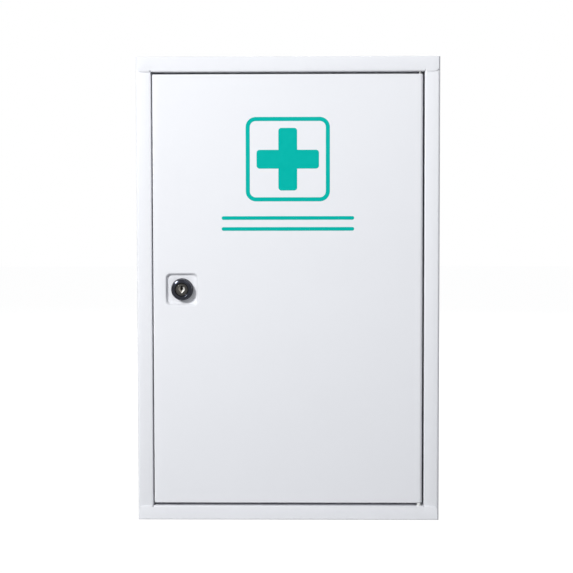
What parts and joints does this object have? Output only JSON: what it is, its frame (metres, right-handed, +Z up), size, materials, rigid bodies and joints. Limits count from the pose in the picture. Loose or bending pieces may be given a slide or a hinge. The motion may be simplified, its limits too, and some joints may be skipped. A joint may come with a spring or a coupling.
{
  "type": "lockable medicine cabinet",
  "caption": "Upright wall cabinet of folded sheet metal with tray shelves, a flush door on hidden pivot pins and a cam lock set in a pressed recess.",
  "frame": {"origin": "centre of the carcass's underside", "axes": "+Z up, -Y out of the door, +Y into the wall, +X to the hinge side as seen from the front"},
  "size_m": [0.3, 0.145, 0.46],
  "materials": {
    "carcass_paint": "smooth satin powder coat",
    "door_paint": "smooth satin powder coat",
    "shelf_paint": "smooth satin powder coat",
    "zinc_steel": "bright zinc plate",
    "lock_black": "polished black nickel",
    "lock_bright": "polished",
    "wafer_brass": "plain",
    "spacer_nylon": "matt",
    "buffer_rubber": "matt",
    "teal_print": "silk-screen ink"
  },
  "bodies": {
    "carcass": {"top_panel": "carcass_paint", "bottom_panel": "carcass_paint", "side_panel_left": "carcass_paint", "side_panel_right": "carcass_paint", "back_panel": "carcass_paint", "shelf_runner_lower_left": "shelf_paint", "shelf_runner_lower_right": "shelf_paint", "shelf_runner_upper_left": "shelf_paint", "shelf_runner_upper_right": "shelf_paint", "shelf_lower": "shelf_paint", "shelf_upper": "shelf_paint", "door_buffers": "buffer_rubber", "hinge_pin_lower": "zinc_steel", "hinge_pin_upper": "zinc_steel", "hinge_spacer": "spacer_nylon"},
    "door": {"door_panel": "door_paint", "hinge_plate_lower": "zinc_steel", "hinge_plate_upper": "zinc_steel", "print_frame": "teal_print", "print_cross": "teal_print", "print_stripes": "teal_print", "lock_housing": "lock_black", "lock_washer": "zinc_steel", "lock_nut": "zinc_steel"},
    "lock_cylinder": {"lock_plug": "lock_black", "lock_shutter": "lock_bright", "lock_wafers": "wafer_brass", "lock_cam": "zinc_steel", "cam_washer": "zinc_steel", "cam_screw": "zinc_steel"}
  },
  "joints": [
    {"name": "door_hinge", "type": "hinge", "parent": "carcass", "child": "door", "pos_m": [0.1302, -0.067, 0.23], "axis": [0, 0, 1], "range_deg": [0, 115]},
    {"name": "lock_turn", "type": "hinge", "parent": "door", "child": "lock_cylinder", "pos_m": [-0.1052, -0.06, 0.2305], "axis": [0, 1, 0], "range_deg": [0, 90]}
  ]
}
